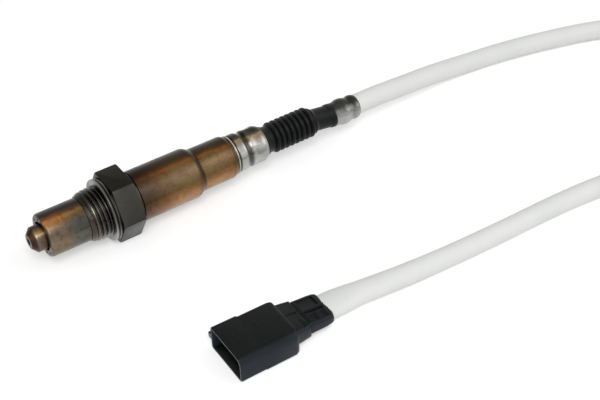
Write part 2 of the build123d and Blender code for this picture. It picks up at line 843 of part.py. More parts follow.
# Rear cover: a flat hood behind the seal, with a tunnel that gathers the wires
with BuildPart() as plug_cover:
    with BuildSketch(plug_section(plug_neck_rear, case_shift)):
        RectangleRounded(cover_w, neck_case_rear_h, radius=cover_corner)
    with BuildSketch(plug_section(plug_rear, case_shift, cover_rear_up)):
        RectangleRounded(cover_w, cover_rear_h, radius=cover_corner)
    loft()
    with BuildSketch(plug_section(seal_rear, case_shift)):
        RectangleRounded(seal_w, seal_h, radius=neck_case_corner / 2)
    extrude(amount=cover_spigot_len)
    tunnel_front_w = (terminal_count - 1) * terminal_pitch + wire_d + 2 * slide_gap
    tunnel_rear_w = (terminal_count - 1) * lead_pitch + wire_d + 2 * slide_gap
    with BuildSketch(plug_section(seal_rear)):
        Rectangle(tunnel_front_w, tunnel_h)
    extrude(amount=cover_spigot_len, mode=Mode.SUBTRACT)
    with BuildSketch(plug_section(plug_neck_rear)):
        Rectangle(tunnel_front_w, tunnel_h)
    with BuildSketch(plug_section(plug_rear, up=cover_rear_up)):
        Rectangle(tunnel_rear_w, tunnel_h)
    loft(mode=Mode.SUBTRACT)
    top_front = plug_point(plug_neck_rear, 0, plug_mid + neck_case_rear_h / 2)
    top_rear = plug_point(plug_rear, 0, cover_rear_up + cover_rear_h / 2)
    slope = (top_rear - top_front).normalized()
    cover_top = Plane(origin=top_front, x_dir=slope, z_dir=slope.cross(plug_base.y_dir))
    with BuildSketch(cover_top):
        with Locations((pocket_front + pocket_len / 2, pocket_across)):
            RectangleRounded(pocket_len, pocket_w, radius=pocket_round)
    extrude(amount=-pocket_depth, mode=Mode.SUBTRACT)
    with BuildSketch(cover_top):
        with Locations((pocket_front + pocket_len / 2, step_across)):
            with GridLocations(step_len + step_gap, 0, 2, 1):
                Rectangle(step_len, step_w)
    extrude(amount=-step_depth, mode=Mode.SUBTRACT)
    with BuildSketch(cover_top.offset(-rib_h / 2)):
        with Locations((cover_len / 2, rib_across)):
            Rectangle(rib_len, rib_w)
    extrude(amount=rib_h)
save(plug_cover, "plug_cover")

# Wires in the plug, from the terminals through the seal and the cover to the end of the sleeve
with BuildPart() as plug_leads:
    for across in terminal_places:
        rear_across = across * lead_pitch / terminal_pitch
        with BuildLine() as lead_path:
            FilletPolyline(
                plug_point(terminal_barrel_x + wire_d / 4, across, plug_mid),
                plug_point(seal_rear + cover_spigot_len, across, plug_mid),
                plug_point(plug_rear - lead_end_len, rear_across, cover_rear_up),
                plug_point(plug_rear, rear_across, cover_rear_up),
                radius=lead_end_len * 2,
            )
        with BuildSketch(Plane(origin=lead_path.line @ 0, z_dir=lead_path.line % 0)):
            Circle(wire_d / 2)
        sweep(path=lead_path.wires()[0])
save(plug_leads, "plug_leads")
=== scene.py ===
from math import atan2, cos, exp, hypot, pi, radians, sin, tan

import bmesh
import bpy
from mathutils import Matrix, Vector


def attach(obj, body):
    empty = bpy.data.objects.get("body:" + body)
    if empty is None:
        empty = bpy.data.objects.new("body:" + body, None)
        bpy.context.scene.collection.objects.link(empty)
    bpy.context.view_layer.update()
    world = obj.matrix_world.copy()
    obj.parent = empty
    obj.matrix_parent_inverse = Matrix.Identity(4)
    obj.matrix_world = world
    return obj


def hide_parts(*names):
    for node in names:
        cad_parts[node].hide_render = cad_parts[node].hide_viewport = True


bl_info = {
    "name": "Oxygen Sensor",
    "version": (1, 0, 0),
    "blender": (4, 5, 0),
    "location": "3D View > Sidebar > Oxygen Sensor",
    "description": "Builds the looks of a four-wire oxygen sensor round its packed solids",
    "category": "Add Mesh",
}

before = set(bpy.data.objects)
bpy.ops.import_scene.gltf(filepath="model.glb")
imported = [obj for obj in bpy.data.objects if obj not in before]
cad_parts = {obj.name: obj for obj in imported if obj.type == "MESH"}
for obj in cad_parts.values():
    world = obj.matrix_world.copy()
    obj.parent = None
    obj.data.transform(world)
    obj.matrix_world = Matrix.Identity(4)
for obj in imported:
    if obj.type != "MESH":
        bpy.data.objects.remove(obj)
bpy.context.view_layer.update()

MM = 0.001
FLOOR_Z = -0.011

# The cable's route, the same points as in the solids, in metres
ROUTE = [
    (0.0994, 0.0, -0.0012),
    (0.1154, 0.0, -0.0024),
    (0.1335, 0.0008, -0.0040),
    (0.1550, 0.0034, -0.0070),
    (0.1770, 0.0010, -0.0072),
    (0.1990, -0.0039, -0.0072),
    (0.2210, -0.0104, -0.0072),
    (0.2375, -0.0207, -0.0072),
    (0.2477, -0.0373, -0.0072),
    (0.2494, -0.0567, -0.0072),
    (0.2423, -0.0748, -0.0072),
    (0.2278, -0.0878, -0.0072),
    (0.2090, -0.0930, -0.0072),
    (0.1896, -0.0914, -0.0072),
    (0.1680, -0.0866, -0.0072),
    (0.1460, -0.0822, -0.0072),
    (0.1240, -0.0807, -0.0072),
    (0.1030, -0.0803, -0.0072),
    (0.0820, -0.0792, -0.0072),
    (0.0630, -0.0776, -0.0072),
    (0.0475, -0.0748, -0.0072),
    (0.0363, -0.0745, -0.0072),
]

# The tail of the boot leaves the bellows here and drops towards the cable
TAIL_X = 83.4 * MM
TAIL_DROP = 0.075

# Between the bellows and the ferrule's mouth the rubber also sags a little
SAG = 0.75 * MM
SAG_LENGTH = 22.0 * MM

# Behind the ferrule the sleeve stands a little above the route, and comes back to it further on
RISE, RISE_FROM, RISE_LENGTH = 0.9 * MM, 98.0 * MM, 20.0 * MM
FALL_FROM, FALL_LENGTH = 135.0 * MM, 30.0 * MM

# The plug lies in line with the cable's last run, its mouth this far in front of the cable's end
PLUG_LENGTH = 34.3 * MM
PLUG_DIRECTION = (Vector(ROUTE[-2]) - Vector(ROUTE[-1])).normalized()


def plug_matrix():
    """Turn the plug's own frame (along, across, up from the floor) into the row's frame."""
    mouth = Vector(ROUTE[-1]) - PLUG_DIRECTION * PLUG_LENGTH
    across = Vector((-PLUG_DIRECTION.y, PLUG_DIRECTION.x, 0))
    columns = Matrix((PLUG_DIRECTION, across, Vector((0, 0, 1)))).transposed()
    return Matrix.Translation((mouth.x, mouth.y, FLOOR_Z)) @ columns.to_4x4()


def linear(code):
    """Linear RGBA of an sRGB hex colour."""
    channels = [int(code[i : i + 2], 16) / 255 for i in (1, 3, 5)]
    return [c / 12.92 if c <= 0.04045 else ((c + 0.055) / 1.055) ** 2.4 for c in channels] + [1.0]


def colour_setting(name, description, code):
    """A colour that a user can change, with its default as an sRGB hex colour."""
    return bpy.props.FloatVectorProperty(
        name=name, description=description, default=linear(code), size=4, subtype="COLOR"
    )


class SensorSettings(bpy.types.PropertyGroup):
    """Sizes and colours of the sensor that a user would change."""

    thread_pitch: bpy.props.FloatProperty(
        name="Thread Pitch", description="Distance between thread crests", default=1.5 * MM, unit="LENGTH"
    )
    crimp_flats: bpy.props.IntProperty(
        name="Crimp Flats", description="Dents pressed round the collar's rear ring",
        default=10, min=6, max=16,
    )
    boot_ribs: bpy.props.IntProperty(
        name="Boot Ribs", description="Folds of the rubber bellows", default=8, min=3, max=12
    )
    sleeve_diameter: bpy.props.FloatProperty(
        name="Sleeve Diameter", description="Outside of the woven sleeve", default=7.6 * MM, unit="LENGTH"
    )
    sleeve_end_width: bpy.props.FloatProperty(
        name="Sleeve End Width", description="Width of the sleeve where it is flattened at the plug",
        default=10.9 * MM, unit="LENGTH",
    )
    rubber_colour: colour_setting("Rubber", "Colour of the boot", "#101211")
    sleeve_colour: colour_setting("Sleeve", "Colour of the woven sleeve", "#e6e7e4")
    plug_colour: colour_setting("Plug", "Colour of the moulded plug", "#0b0d0c")


# Nodes and materials

# Places of the two colours and of the result among a Mix node's sockets
FIRST, SECOND, RESULT = 6, 7, 2


def add_node(tree, kind, inputs=None, stops=None, **settings):
    """Add a node. Each input is a value or an output socket to link; stops fill a colour ramp."""
    node = tree.nodes.new(kind)
    for name, value in settings.items():
        setattr(node, name, value)
    for name, value in (inputs or {}).items():
        if isinstance(value, bpy.types.NodeSocket):
            tree.links.new(value, node.inputs[name])
        else:
            node.inputs[name].default_value = value
    for number, (place, code) in enumerate(stops or []):
        if number >= 2:
            node.color_ramp.elements.new(place)
        node.color_ramp.elements[number].position = place
        node.color_ramp.elements[number].color = linear(code)
    return node


def noise(tree, place, scale, detail, **more):
    """Noise in the object's own coordinates; the scale is in cells per metre."""
    inputs = {"Vector": place.outputs["Object"], "Scale": scale, "Detail": detail, **more}
    return add_node(tree, "ShaderNodeTexNoise", inputs).outputs["Fac"]


def spread(tree, value, low, high, start=0.0, end=1.0):
    """Map what lies between low and high to what lies between start and end."""
    ends = {"From Min": low, "From Max": high, "To Min": start, "To Max": end}
    return add_node(tree, "ShaderNodeMapRange", {"Value": value, **ends}).outputs[0]


def mixed(tree, factor, first, second, blend="MIX"):
    """Mix two colours."""
    inputs = {"Factor": factor, FIRST: first, SECOND: second}
    return add_node(tree, "ShaderNodeMix", inputs, data_type="RGBA", blend_type=blend).outputs[RESULT]


def relief(tree, height, strength, depth):
    """Bump of a real depth, in mm."""
    inputs = {"Height": height, "Strength": strength, "Distance": depth * MM}
    return add_node(tree, "ShaderNodeBump", inputs).outputs[0]


def math_node(tree, operation, *values):
    """A math node on one to three values."""
    return add_node(tree, "ShaderNodeMath", dict(enumerate(values)), operation=operation).outputs[0]


def new_material(name):
    """An empty node material and its tree."""
    material = bpy.data.materials.new(name)
    material.use_nodes = True
    material.node_tree.nodes.clear()
    return material, material.node_tree


def finish_material(material, inputs):
    """Shade the material with these values and sockets, and hand it back."""
    tree = material.node_tree
    shader = add_node(tree, "ShaderNodeBsdfPrincipled", inputs)
    add_node(tree, "ShaderNodeOutputMaterial", {"Surface": shader.outputs["BSDF"]})
    return material


def turned_steel(name, around, along, grain, roughness, dirt=0.0, drift=0.35, roots=None):
    """Stainless steel, drawn and turned, with heat tint and painted shade, highlights and reflections in
    bands round the axis.

    The bands paint mirror-like streaks along the tube, broken by the fine rings that the lathe left.
    Stops around are angles in degrees from the top, down the near side; stops along are places on X
    in mm, and their colours, tint and painted shade in grooves and steps, multiply the bands. Drift is how
    far, in radians, clouds of tint shift the bands. Roots are two radii in mm between which painted shade
    in the thread's roots thins out.
    """
    material, tree = new_material(name)
    place = add_node(tree, "ShaderNodeTexCoord")
    parts = add_node(tree, "ShaderNodeSeparateXYZ", {0: place.outputs["Object"]})
    angle = math_node(tree, "ARCTAN2", parts.outputs["Y"], parts.outputs["Z"])
    # Clouds about 7 mm long, which shift the bands of tint and painted shade and set the roughness
    cloud = noise(tree, place, 140.0, 4.0, Roughness=0.6)
    wander = math_node(tree, "MULTIPLY_ADD", cloud, drift, angle)
    share = spread(tree, wander, pi + drift / 2, -pi + drift / 2)
    # Bands round the axis: heat tint, painted shade on top, and painted highlights and reflections down the
    # near side
    stops = [((degrees + 180) / 360, code) for degrees, code in around]
    tint_and_shade_bands = add_node(tree, "ShaderNodeValToRGB", {"Fac": share}, stops)
    # Zones along X: tint, and painted shade in grooves and steps, multiplying the bands
    start, end = along[0][0], along[-1][0]
    stops = [((x - start) / (end - start), code) for x, code in along]
    length = spread(tree, parts.outputs["X"], start * MM, end * MM)
    zones = add_node(tree, "ShaderNodeValToRGB", {"Fac": length}, stops)
    colour = mixed(tree, 1.0, tint_and_shade_bands.outputs["Color"], zones.outputs["Color"], "MULTIPLY")
    # Baked dirt in blotches of 2 mm, then oxide specks of 0.5 mm
    specks = noise(tree, place, 1600.0, 3.0)
    blotches = noise(tree, place, 420.0, 5.0, Roughness=0.65)
    for layer, low in ((blotches, 0.45), (specks, 0.52)):
        amount = spread(tree, layer, low, low + 0.2, 0.0, dirt)
        colour = mixed(tree, amount, colour, linear("#1c150f"))
    # Painted shade: darker towards the thread's roots, where shade falls in the grooves
    if roots:
        across = {0: place.outputs["Object"], 1: (0.0, 1.0, 1.0)}
        flat = add_node(tree, "ShaderNodeVectorMath", across, operation="MULTIPLY")
        radius = add_node(tree, "ShaderNodeVectorMath", {0: flat.outputs[0]}, operation="LENGTH")
        depth = spread(tree, radius.outputs["Value"], roots[0] * MM, roots[1] * MM, 0.4, 0.0)
        colour = mixed(tree, depth, colour, linear("#0b0907"))
    # Lathe rings: the real ones are 0.1 mm apart, drawn at 0.3 mm so that they show
    stretched = add_node(
        tree, "ShaderNodeMapping", {"Vector": place.outputs["Object"], "Scale": (3300.0, 60.0, 60.0)}
    )
    inputs = {"Vector": stretched.outputs[0], "Scale": 1.0, "Detail": 2.0}
    rings = add_node(tree, "ShaderNodeTexNoise", inputs)
    height = math_node(tree, "ADD", rings.outputs["Fac"], specks)
    return finish_material(material, {
        "Base Color": colour,
        "Metallic": 1.0,
        "Roughness": spread(tree, cloud, 0.3, 0.7, *roughness),
        "Normal": relief(tree, height, grain, 0.02),
    })


def boot_rubber():
    """Fluororubber, moulded: dense black with a soft, slightly waxy shine and fine moulding grit."""
    material, tree = new_material("Moulded Fluororubber")
    place = add_node(tree, "ShaderNodeTexCoord")
    grit = noise(tree, place, 2500.0, 3.0)
    film = noise(tree, place, 180.0, 4.0)
    return finish_material(material, {
        "Base Color": mixed(tree, film, bpy.context.scene.oxygen_sensor.rubber_colour, linear("#0a0b0b")),
        "Roughness": spread(tree, film, 0.3, 0.7, 0.3, 0.48),
        "IOR": 1.4,
        "Specular IOR Level": 0.2,
        "Normal": relief(tree, grit, 0.25, 0.03),
    })


def woven_sleeve():
    """Glass-fibre braid with a thin white varnish: matt, with a faint diagonal weave."""
    material, tree = new_material("Varnished Glass Fibre Braid")
    place = add_node(tree, "ShaderNodeTexCoord")
    uv = add_node(tree, "ShaderNodeUVMap", uv_map="braid")
    # Strands: one unit of the map is 1 mm; the two directions cross every 0.9 mm
    waves = []
    for slant in (1.0, -1.0):
        turn = (0, 0, slant * radians(45))
        strands = add_node(tree, "ShaderNodeMapping", {"Vector": uv.outputs[0], "Rotation": turn})
        inputs = {"Vector": strands.outputs[0], "Scale": 0.36, "Distortion": 0.6, "Detail": 1.0}
        waves.append(add_node(tree, "ShaderNodeTexWave", inputs, bands_direction="X").outputs["Fac"])
    weave = math_node(tree, "MAXIMUM", *waves)
    handling = noise(tree, place, 90.0, 3.0)
    fuzz = noise(tree, place, 1800.0, 2.0)
    height = math_node(tree, "MULTIPLY_ADD", fuzz, 0.5, weave)
    worn = spread(tree, handling, 0.45, 0.8, 0.0, 0.35)
    base = mixed(tree, worn, bpy.context.scene.oxygen_sensor.sleeve_colour, linear("#d7dad6"))
    # Painted shade in the gaps between the strands
    gap_shade = spread(tree, weave, 0.1, 0.6, 0.11, 0.0)
    return finish_material(material, {
        "Base Color": mixed(tree, gap_shade, base, linear("#b9beb9")),
        "Roughness": 0.62,
        "IOR": 1.5,
        "Sheen Weight": 0.15,
        "Normal": relief(tree, height, 0.22, 0.08),
    })


def plug_nylon():
    """Glass-filled nylon, injection moulded: black, half gloss, with fine spark grain and light rubs."""
    material, tree = new_material("Moulded Glass Filled Nylon")
    place = add_node(tree, "ShaderNodeTexCoord")
    grain = noise(tree, place, 3000.0, 3.0)
    rub = noise(tree, place, 220.0, 5.0)
    share = spread(tree, rub, 0.5, 0.75, 0.0, 0.5)
    colour = mixed(tree, share, bpy.context.scene.oxygen_sensor.plug_colour, linear("#1b1e20"))
    # Painted light: the near side, which faces -Y, is painted paler and bluish
    facing = add_node(tree, "ShaderNodeSeparateXYZ", {"Vector": place.outputs["Normal"]})
    painted_near_light = spread(tree, facing.outputs["Y"], -0.95, -0.25, 1.0, 0.0)
    return finish_material(material, {
        "Base Color": mixed(tree, painted_near_light, colour, linear("#262b31")),
        "Roughness": spread(tree, rub, 0.3, 0.7, 0.22, 0.34),
        "IOR": 1.53,
        "Specular IOR Level": 0.1,
        "Normal": relief(tree, grain, 0.2, 0.03),
    })


def plain_finish(name, low, high, scale, roughness, metallic=0.0):
    """A small or hidden part: two close colours in grains of a real size, metal or not."""
    material, tree = new_material(name)
    place = add_node(tree, "ShaderNodeTexCoord")
    grain = noise(tree, place, scale, 4.0)
    colour = add_node(tree, "ShaderNodeValToRGB", {"Fac": grain}, [(0.3, low), (0.7, high)])
    return finish_material(material, {
        "Base Color": colour.outputs["Color"],
        "Roughness": roughness,
        "Metallic": metallic,
        "Normal": relief(tree, grain, 0.2, 0.03),
    })


# Shapes


def keep_piece(name, bm, material, node=None, sharp=32):
    """Write a bmesh as a finished piece on the body, standing for a CAD node if one is named."""
    mesh = bpy.data.meshes.new(name)
    bm.to_mesh(mesh)
    bm.free()
    mesh.shade_smooth()
    mesh.set_sharp_from_angle(angle=radians(sharp))
    mesh.materials.append(material)
    piece = bpy.data.objects.new(name, mesh)
    bpy.context.scene.collection.objects.link(piece)
    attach(piece, "root")
    if node:
        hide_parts(node)
    return piece


def dress(node, material):
    """Give a CAD node its material and leave its mesh as it is."""
    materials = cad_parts[node].data.materials
    materials.clear()
    materials.append(material)


def bevel(bm, geom, width, affect, segments, clamp=True):
    """Round vertices or edges by a width in mm."""
    bmesh.ops.bevel(
        bm, geom=geom, offset=width * MM, offset_type="OFFSET", affect=affect, segments=segments,
        profile=0.5, material=-1, clamp_overlap=clamp,
    )


def turned(profile, steps=128):
    """Spin a closed profile of (x, radius) or (x, radius, rounding), in mm, round the X axis."""
    bm = bmesh.new()
    corners = [bm.verts.new((p[0] * MM, 0, p[1] * MM)) for p in profile]
    for first, second in zip(corners, corners[1:] + corners[:1]):
        bm.edges.new((first, second))
    for corner, point in zip(corners, profile):
        if len(point) > 2:
            bevel(bm, [corner], point[2], "VERTICES", 4)
    bmesh.ops.spin(
        bm, geom=bm.verts[:] + bm.edges[:], cent=(0, 0, 0), axis=(1, 0, 0), dvec=(0, 0, 0), angle=2 * pi,
        steps=steps, use_merge=True, use_normal_flip=False, use_duplicate=False,
    )
    bmesh.ops.remove_doubles(bm, verts=bm.verts, dist=1e-7)
    bmesh.ops.recalc_face_normals(bm, faces=bm.faces)
    return bm


def sag(x):
    """How far the tail hangs under its straight axis at a place along X, in metres."""
    along = (x - TAIL_X) / SAG_LENGTH
    return SAG * sin(pi * along) if 0 < along < 1 else 0.0


def eased(value):
    """A step from 0 to 1 without a corner."""
    value = min(max(value, 0.0), 1.0)
    return value * value * (3 - 2 * value)


def rise(x):
    """How far the sleeve stands above the cable's route behind the ferrule, in metres."""
    return RISE * eased((x - RISE_FROM) / RISE_LENGTH) * (1 - eased((x - FALL_FROM) / FALL_LENGTH))


def droop(bm):
    """Lower what lies behind the bellows along the tail's falling axis."""
    for vert in bm.verts:
        vert.co.z -= TAIL_DROP * max(0.0, vert.co.x - TAIL_X) + sag(vert.co.x)


def bevel_sharp(bm, width, limit=30, segments=2):
    """Round every edge whose faces meet at more than the limit, in degrees."""
    edges = [e for e in bm.edges if len(e.link_faces) == 2 and e.calc_face_angle(0) > radians(limit)]
    bevel(bm, edges, width, "EDGES", segments)


def cut_face(bm, point, normal, keep_all=False):
    """Cut the mesh with a plane; unless all is kept, drop what is in front of it and close the cut."""
    result = bmesh.ops.bisect_plane(
        bm, geom=bm.verts[:] + bm.edges[:] + bm.faces[:], dist=1e-8, plane_co=point, plane_no=normal,
        clear_outer=not keep_all,
    )
    edges = [g for g in result["geom_cut"] if isinstance(g, bmesh.types.BMEdge)]
    if not keep_all:
        bmesh.ops.edgeloop_fill(bm, edges=edges)
    return edges


def cut_across(bm, places):
    """Cut rings of edges across X at these places, in mm."""
    for x in places:
        cut_face(bm, (x * MM, 0, 0), (1, 0, 0), keep_all=True)


def end_ring(bm, edges, x, radius):
    """Extrude a loop of edges to a new ring at a place along X and a radius, in mm."""
    made = bmesh.ops.extrude_edge_only(bm, edges=edges)["geom"]
    for vert in [g for g in made if isinstance(g, bmesh.types.BMVert)]:
        around = atan2(vert.co.z, vert.co.y)
        vert.co = Vector((x * MM, radius * MM * cos(around), radius * MM * sin(around)))
    return [g for g in made if isinstance(g, bmesh.types.BMEdge)]


def section_loop(bm, along, low, high, bottom, top, near_top, corner):
    """One rounded rectangle across the plug, in mm: from low to high across, bottom to top up.

    The upper corner on the low side has its own rounding, near_top.
    """
    points = [(low, bottom), (high, bottom), (high, top), (low, top)]
    verts = [bm.verts.new((along * MM, a * MM, u * MM)) for a, u in points]
    for pair in zip(verts, verts[1:] + verts[:1]):
        bm.edges.new(pair)
    for group, offset in ((verts[3:], near_top), (verts[:3], corner)):
        bevel(bm, group, offset, "VERTICES", 6, clamp=False)


def lofted(sections):
    """Bridge a row of rounded rectangles into one skin, and close its two ends.

    Neighbouring sections lie at least 0.05 mm apart along the plug, or their bridge folds.
    """
    bm = bmesh.new()
    loops = []
    for section in sections:
        before = set(bm.edges)
        section_loop(bm, *section)
        loops.append([e for e in bm.edges if e not in before])
    for first, second in zip(loops, loops[1:]):
        bmesh.ops.bridge_loops(bm, edges=first + second)
    for loop in (loops[0], loops[-1]):
        bmesh.ops.edgeloop_fill(bm, edges=loop)
    bmesh.ops.recalc_face_normals(bm, faces=bm.faces)
    return bm


def recess(bm, low, high, depth, inset=0.12, up=0.6):
    """Press the upward faces between two corners (along, across), in mm, down by the depth."""
    for axis in (0, 1):
        for limit in (low[axis], high[axis]):
            point = [0, 0, 0]
            normal = [0, 0, 0]
            point[axis] = limit * MM
            normal[axis] = 1
            cut_face(bm, point, normal, keep_all=True)
    faces = [
        f
        for f in bm.faces
        if f.normal.z > up
        and low[0] * MM < f.calc_center_median().x < high[0] * MM
        and low[1] * MM < f.calc_center_median().y < high[1] * MM
    ]
    bmesh.ops.inset_region(
        bm, faces=faces, thickness=inset * MM, depth=-depth * MM, use_even_offset=True, use_boundary=True
    )


def small_block(bm, centre, size, rounding):
    """Add a small rounded block, in mm, in the mesh's own frame."""
    made = bmesh.ops.create_cube(bm, size=1.0)["verts"]
    bmesh.ops.scale(bm, vec=[s * MM for s in size], verts=made)
    bmesh.ops.translate(bm, vec=[c * MM for c in centre], verts=made)
    edges = list({e for v in made for e in v.link_edges})
    bevel(bm, edges, rounding, "EDGES", 2)


# Pieces


class SENSOR_OT_camera(bpy.types.Operator):
    """Place the camera at the photograph's angle"""

    bl_idname = "sensor.camera"
    bl_label = "Camera"

    def execute(self, context):
        azimuth, elevation, roll = radians(-33.32), radians(39.65), radians(2.09)
        target, distance = Vector((0.05574, -0.03472, 0.0)), 0.3972
        back = Vector((sin(azimuth) * cos(elevation), -cos(azimuth) * cos(elevation), sin(elevation)))
        right = Vector((cos(azimuth), sin(azimuth), 0))
        up = back.cross(right)
        side = right * cos(roll) - up * sin(roll)
        top = right * sin(roll) + up * cos(roll)
        data = bpy.data.cameras.new("camera")
        # The focal length and the picture's width, both in the photograph's pixels
        focal, picture_width = 1194.65, 600
        data.sensor_width = 36.0
        data.lens = data.sensor_width * focal / picture_width
        data.clip_start = 0.01
        data.clip_end = 20.0
        camera = bpy.data.objects.new("camera", data)
        turn = Matrix((side, top, back)).transposed().to_4x4()
        camera.matrix_world = Matrix.Translation(target + back * distance) @ turn
        context.scene.collection.objects.link(camera)
        context.scene.camera = camera
        return {"FINISHED"}


class SENSOR_OT_sleeve(bpy.types.Operator):
    """Build the woven sleeve as a tube along the cable's route"""

    bl_idname = "sensor.sleeve"
    bl_label = "Woven Sleeve"

    def execute(self, context):
        settings = context.scene.oxygen_sensor
        curve = bpy.data.curves.new("route", "CURVE")
        curve.dimensions = "3D"
        curve.resolution_u = 10
        spline = curve.splines.new("NURBS")
        spline.points.add(len(ROUTE) - 1)
        for point, place in zip(spline.points, ROUTE):
            point.co = (*place, 1.0)
        spline.order_u = 3
        spline.use_endpoint_u = True
        guide = bpy.data.objects.new("route", curve)
        context.scene.collection.objects.link(guide)
        context.view_layer.update()
        line = bpy.data.meshes.new_from_object(guide)
        # The first run of the cable sags with the boot's tail, then stands up a little
        path = [v.co.copy() for v in line.vertices]
        for place in path:
            if place.y > -0.01:
                place.z += rise(place.x) - sag(place.x)
        bpy.data.objects.remove(guide)
        bpy.data.meshes.remove(line)

        # Sizes along the tube, from the plug's end: (distance in mm, width, height)
        wide = settings.sleeve_end_width / MM
        sizes = [
            (0, wide, 5.4), (5, wide - 0.2, 5.6), (15, 8.4, 6.6), (28, 7.6, 7.2), (45, 7.0, 7.2),
            (80, 6.9, 7.2), (150, 7.6, 7.6),
        ]
        lengths = [0.0]
        for first, second in zip(path, path[1:]):
            lengths.append(lengths[-1] + (second - first).length)
        total = lengths[-1]
        bm = bmesh.new()
        uv_layer = bm.loops.layers.uv.new("braid")
        sides = 40
        girth = pi * settings.sleeve_diameter / MM
        ring = bmesh.ops.create_circle(bm, segments=sides, radius=1.0)["verts"]
        ring.sort(key=lambda v: atan2(v.co.y, v.co.x))
        rings = [ring]
        for _ in path[1:]:
            made = [bm.verts.new(v.co) for v in ring]
            rings.append(made)
        edges = set(bm.edges)
        for number, (place, verts) in enumerate(zip(path, rings)):
            ahead = path[min(number + 1, len(path) - 1)] - path[max(number - 1, 0)]
            ahead.normalize()
            across = Vector((0, 0, 1)).cross(ahead).normalized()
            up = ahead.cross(across)
            left = (total - lengths[number]) / MM
            width, height = self.size_at(left, sizes)
            # Where it is flattened it lies lower, and at the plug it leans to the far side
            lower = (settings.sleeve_diameter / MM - height) / 2 if left < sizes[-1][0] else 0.0
            aside = 0.5 * (1 - eased((left - 4) / 12))
            for side, vert in enumerate(verts):
                around = 2 * pi * side / sides
                vert.co = (
                    place
                    + across * ((cos(around) * width / 2 - aside) * MM)
                    + up * (sin(around) * height / 2 * MM)
                    - Vector((0, 0, lower * MM * 0.8))
                )
        for number, (first, second) in enumerate(zip(rings, rings[1:])):
            for side in range(sides):
                after = (side + 1) % sides
                face = bm.faces.new((first[side], first[after], second[after], second[side]))
                near, far = lengths[number], lengths[number + 1]
                corners = [(near, side), (near, side + 1), (far, side + 1), (far, side)]
                for loop, (u, v) in zip(face.loops, corners):
                    loop[uv_layer].uv = (u / MM, v / sides * girth)
        bmesh.ops.delete(bm, geom=[e for e in edges if not e.link_faces], context="EDGES")
        for loop_verts in (rings[0], rings[-1]):
            bmesh.ops.contextual_create(bm, geom=loop_verts)
        bmesh.ops.recalc_face_normals(bm, faces=bm.faces)
        sleeve = keep_piece("woven_sleeve", bm, woven_sleeve(), "cable_sleeve", sharp=60)
        self.declare(sleeve, path, settings)
        return {"FINISHED"}

    def size_at(self, left, sizes):
        """Width and height at a distance from the plug's end, in mm."""
        for (d0, w0, h0), (d1, w1, h1) in zip(sizes, sizes[1:]):
            if d0 <= left <= d1:
                share = eased((left - d0) / (d1 - d0))
                return w0 + (w1 - w0) * share, h0 + (h1 - h0) * share
        return sizes[-1][1:]

    def declare(self, sleeve, path, settings):
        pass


class SENSOR_OT_tubes(bpy.types.Operator):
    """Build the two protection tubes of the nose"""

    bl_idname = "sensor.tubes"
    bl_label = "Protection Tubes"

    def execute(self, context):
        # Round the axis: heat tint with an orange streak and painted shade on top; along X, a bluish tint
        # towards the rear and darker at the front face
        nose = turned_steel(
            "Scorched Drawn Stainless",
            [
                (-180, "#6a6054"), (-90, "#4a4136"), (-40, "#2c281f"), (0, "#332d22"), (12, "#7a4a2c"),
                (20, "#a87646"), (32, "#80603f"), (46, "#62564c"), (62, "#6e6354"), (92, "#80705d"),
                (120, "#746a5b"), (180, "#6a6054"),
            ],
            [
                (-22.0, "#b8a898"), (-21.4, "#ffffff"), (-16.0, "#fbf4ec"), (-12.5, "#cbe2f6"),
                (-8.0, "#b4c6d4"),
            ],
            0.25, (0.26, 0.38), 0.3,
        )
        outer = turned(
            [
                (-7.65, 7.05), (-7.65, 7.6, 0.1), (-20.8, 7.6), (-21.3, 7.48), (-21.65, 7.2), (-21.75, 6.8),
                (-21.75, 6.55), (-21.75, 5.65), (-21.75, 5.15, 0.12), (-21.25, 5.1, 0.1), (-21.25, 6.6),
                (-20.9, 7.05),
            ],
            120,
        )
        # Ten gas holes in the front face, each three steps of the spin wide, pressed in 0.4 mm and coloured
        # near-black as painted shade for their dark insides
        holes = [
            f for f in outer.faces
            if f.calc_center_median().x < -21.7 * MM
            and 5.7 * MM < hypot(f.calc_center_median().y, f.calc_center_median().z) < 6.5 * MM
            and int((atan2(f.calc_center_median().z, f.calc_center_median().y) + pi) / radians(3)) % 12 < 3
        ]
        for face in holes:
            face.material_index = 1
        bmesh.ops.inset_region(
            outer, faces=holes, thickness=0.06 * MM, depth=-0.4 * MM, use_even_offset=True, use_boundary=True
        )
        skin = keep_piece("outer_tube_skin", outer, nose, "outer_protection_tube")
        skin.data.materials.append(plain_finish("Painted Hole Shade", "#0c0a08", "#1a1512", 900.0, 0.8))
        # Painted shade on top and painted highlights at 24 to 38 degrees; along X, painted shade on the front
        # cone and where the tip runs into the outer tube
        tip = turned_steel(
            "Burnt Drawn Stainless",
            [
                (-180, "#574a3e"), (-90, "#3a3029"), (-30, "#2a221c"), (0, "#3a322b"), (12, "#6e5836"),
                (24, "#8f7850"), (38, "#9a8a74"), (50, "#746860"), (90, "#6c5f54"), (120, "#6a6058"),
                (180, "#574a3e"),
            ],
            [
                (-26.5, "#8a7878"), (-25.2, "#9a8680"), (-24.6, "#ffffff"), (-22.6, "#e0ccb8"),
                (-21.0, "#5a4c42"),
            ],
            0.3, (0.24, 0.36), 0.3,
        )
        inner = turned(
            [
                (-26.5, 1.1, 0.1), (-26.5, 2.55, 0.12), (-24.8, 4.42, 0.2), (-12.1, 4.5, 0.3), (-10.5, 5.8),
                (-5.9, 5.8), (-5.9, 5.4), (-10.5, 5.4), (-12.1, 4.1), (-24.6, 4.0), (-26.1, 2.3),
                (-26.1, 1.1),
            ],
            96,
        )
        keep_piece("inner_tube_skin", inner, tip, "inner_protection_tube")
        return {"FINISHED"}


